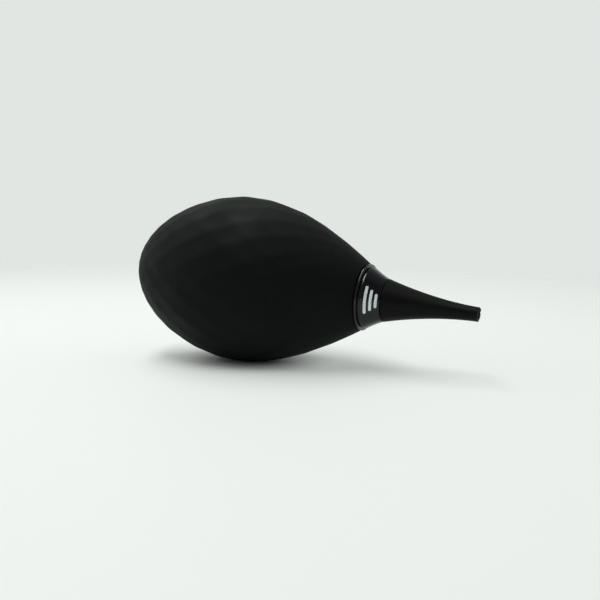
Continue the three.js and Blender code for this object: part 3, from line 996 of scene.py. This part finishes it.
class BLOWER_OT_collar(bpy.types.Operator):
    """Make the glossy collar and the printed bars on it"""

    bl_idname = "blower.collar"
    bl_label = "Make collar"

    def execute(self, context):
        ring = make_collar()
        polished_plastic().put_on(ring)
        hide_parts("collar")
        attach(ring, "bulb_and_neck")
        mark = make_mark()
        white_ink().put_on(mark)
        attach(mark, "bulb_and_neck")
        return {"FINISHED"}


class BLOWER_OT_nozzle(bpy.types.Operator):
    """Make the tapered nozzle"""

    bl_idname = "blower.nozzle"
    bl_label = "Make nozzle"

    def execute(self, context):
        tube = make_nozzle()
        nozzle_rubber().put_on(tube)
        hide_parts("nozzle")
        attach(tube, "nozzle")
        return {"FINISHED"}


class BLOWER_OT_tail_cap(bpy.types.Operator):
    """Make the tail cap with its air holes"""

    bl_idname = "blower.tail_cap"
    bl_label = "Make tail cap"

    def execute(self, context):
        cap = make_cap()
        satin_plastic().put_on(cap)
        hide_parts("filter_cap")
        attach(cap, "tail_unit")
        return {"FINISHED"}


class BLOWER_OT_inner_pieces(bpy.types.Operator):
    """Finish the bush, the valves, the seals and the clamping pieces"""

    bl_idname = "blower.inner_pieces"
    bl_label = "Finish inner pieces"

    def execute(self, context):
        nodes = frame["nodes"]
        valves = context.scene.blower_valves
        satin_plastic().put_on(nodes["neck_bush"])
        seals = ("neck_gasket", "nozzle_seal", "inlet_gasket", "outlet_valve_flap", "inlet_valve_flap")
        seal_rubber().put_on(*(nodes[name] for name in seals))
        pale = ("outlet_valve_seat", "outlet_valve_cage", "inlet_valve_cage")
        valve_plastic().put_on(*(nodes[name] for name in pale))
        brass = turned_metal("turned_brass", tuple(valves.brass), 0.3)
        brass.put_on(nodes["inlet_valve_body"], nodes["inlet_nut"])
        turned_metal("spring_steel", tuple(valves.steel), 0.26).put_on(nodes["retaining_ring"])
        pressed_felt().put_on(nodes["filter_pad"])
        return {"FINISHED"}


class BLOWER_OT_stage(bpy.types.Operator):
    """Make the floor, the lights and the camera"""

    bl_idname = "blower.stage"
    bl_label = "Make stage"

    def execute(self, context):
        stage = context.scene.blower_stage
        make_floor(stage)
        make_sky(stage)
        make_lights(stage)
        make_camera(stage)
        return {"FINISHED"}


def make_floor(stage):
    """A plain round floor whose edge fades into the backdrop: rings of points at height 0. It glows a
    little as painted light, and the glow fades out around the bulb's resting place as a painted contact
    shadow.
    """
    radii = np.linspace(0, stage.floor_reach, 25)
    angle = angles_around(96)
    x = radii[:, None] * np.cos(angle)
    y = -radii[:, None] * np.sin(angle)
    floor = wrapped("floor", np.stack([x, y, np.full_like(x, -0.00002)], axis=-1))
    base = tuple(stage.floor_colour)
    made = Finish("pale_floor", base, 0.6, specular=0.2)
    made.colour(made.mix(made.span(made.noise(0.5), 0.3, 0.7), scaled(base, 0.997), base))
    # Painted light: an even glow that lightens the floor's shadows.
    made.surface.inputs["Emission Color"].default_value = (*stage.sky_colour, 1)
    # Painted contact shadow: the glow fades to none near the bulb's resting place.
    touch = made.vector("DISTANCE", made.place, (stage.painted_shadow_x, 0.0, 0.0))
    painted_glow = made.span(touch, stage.painted_shadow_start, stage.painted_shadow_end, 0.0, stage.painted_floor_light)
    made.link(painted_glow, made.surface.inputs["Emission Strength"])
    distance = made.vector("LENGTH", made.place)
    clear = made.node("ShaderNodeBsdfTransparent")
    mixed = made.node("ShaderNodeMixShader")
    fade = made.span(distance, stage.floor_fade, 0.95 * stage.floor_reach)
    made.link(fade, mixed.inputs["Fac"])
    made.link(made.surface.outputs[0], mixed.inputs[1])
    made.link(clear.outputs[0], mixed.inputs[2])
    made.link(mixed.outputs[0], made.tree.nodes["Material Output"].inputs["Surface"])
    made.put_on(floor)


def make_sky(stage):
    """Pale light from all around, dimmer overhead and behind the camera. The camera itself sees
    the backdrop at one brightness."""
    world = bpy.data.worlds.new("studio")
    world.use_nodes = True
    made = Tree(world.node_tree)
    place = made.node("ShaderNodeTexCoord").outputs["Generated"]
    away = (-math.sin(stage.camera_heading), math.cos(stage.camera_heading), 0.0)
    height = made.vector("DOT_PRODUCT", place, (0.0, 0.0, 1.0))
    overhead = made.span(height, 0.3, 0.75, 1.0, stage.sky_overhead)
    behind = made.span(made.vector("DOT_PRODUCT", place, away), -0.9, 0.3, stage.sky_behind, 1.0)
    seen = made.node("ShaderNodeLightPath").outputs["Is Camera Ray"]
    strength = made.maths("MAXIMUM", made.maths("MULTIPLY", overhead, behind), seen)
    background = world.node_tree.nodes["Background"]
    background.inputs["Color"].default_value = (*stage.sky_colour, 1)
    made.link(strength, background.inputs["Strength"])
    bpy.context.scene.world = world
    bpy.context.scene.view_settings.view_transform = "Standard"


def placed(right, above, back, place):
    """The matrix that turns an object's own axes to these three and puts it at a place."""
    matrix = Matrix((right, above, back)).transposed().to_4x4()
    matrix.translation = place
    return matrix


def make_lights(stage):
    """Soft boxes, as (name, place, width, length, power), aimed at the blower.

    The long one overhead runs away from the camera and draws the streaks on the collar's bead; the
    one at the left, low down, lights the tail's edge.
    """
    target = Vector((0.0, 0.0, 0.03))
    away = Vector((-math.sin(stage.camera_heading), math.cos(stage.camera_heading), 0.0))
    boxes = (
        ("top_strip", (-0.25, 0.0, 0.87), 0.22, 1.2, stage.strip_power),
        ("left_box", (-0.743, -0.181, 0.45), 0.6, 0.6, stage.left_power),
    )
    for name, place, width, run, power in boxes:
        lamp = bpy.data.lights.new(name, "AREA")
        lamp.shape = "RECTANGLE"
        lamp.size = width
        lamp.size_y = run
        lamp.energy = power
        back = (Vector(place) - target).normalized()
        across = away.cross(back).normalized()
        holder = bpy.data.objects.new(name, lamp)
        holder.visible_camera = False
        holder.matrix_world = placed(across, back.cross(across), back, place)
        bpy.context.scene.collection.objects.link(holder)


def make_camera(stage):
    """A camera at its place: turned from +Y by its heading, dipped, and rolled."""
    heading, dip, roll = stage.camera_heading, stage.camera_dip, stage.camera_roll
    forward = Vector(
        (-math.sin(heading) * math.cos(dip), math.cos(heading) * math.cos(dip), -math.sin(dip))
    )
    right = Vector((math.cos(heading), math.sin(heading), 0.0))
    above = right.cross(forward)
    rolled_right = math.cos(roll) * right + math.sin(roll) * above
    rolled_above = math.cos(roll) * above - math.sin(roll) * right
    lens = bpy.data.cameras.new("camera")
    lens.lens = stage.lens
    lens.sensor_width = 36.0
    lens.clip_start = 0.01
    lens.clip_end = 20.0
    camera = bpy.data.objects.new("camera", lens)
    camera.matrix_world = placed(rolled_right, rolled_above, -forward, stage.camera_place)
    bpy.context.scene.collection.objects.link(camera)
    bpy.context.scene.camera = camera


class BLOWER_PT_panel(bpy.types.Panel):
    """Lists the blower's pieces"""

    bl_idname = "BLOWER_PT_panel"
    bl_label = "Dust blower"
    bl_space_type = "VIEW_3D"
    bl_region_type = "UI"
    bl_category = "Dust blower"

    def draw(self, context):
        for operator in OPERATORS:
            self.layout.operator(operator.bl_idname)
        for name, group in GROUPS.items():
            box = self.layout.box()
            box.label(text=group.__doc__)
            for key in group.__annotations__:
                box.prop(getattr(context.scene, name), key)


OPERATORS = (
    BLOWER_OT_bulb,
    BLOWER_OT_collar,
    BLOWER_OT_nozzle,
    BLOWER_OT_tail_cap,
    BLOWER_OT_inner_pieces,
    BLOWER_OT_stage,
)


def register():
    """Registers the classes and puts the settings on the scene."""
    for kind in (*GROUPS.values(), *OPERATORS, BLOWER_PT_panel):
        bpy.utils.register_class(kind)
    for name, group in GROUPS.items():
        setattr(bpy.types.Scene, name, PointerProperty(type=group))


def unregister():
    """Takes the settings off the scene and unregisters the classes."""
    for name in GROUPS:
        delattr(bpy.types.Scene, name)
    for kind in reversed((*GROUPS.values(), *OPERATORS, BLOWER_PT_panel)):
        bpy.utils.unregister_class(kind)


def main():
    """Makes every piece in order."""
    register()
    bpy.ops.blower.bulb()
    bpy.ops.blower.collar()
    bpy.ops.blower.nozzle()
    bpy.ops.blower.tail_cap()
    bpy.ops.blower.inner_pieces()
    bpy.ops.blower.stage()


if __name__ == "__main__":
    main()
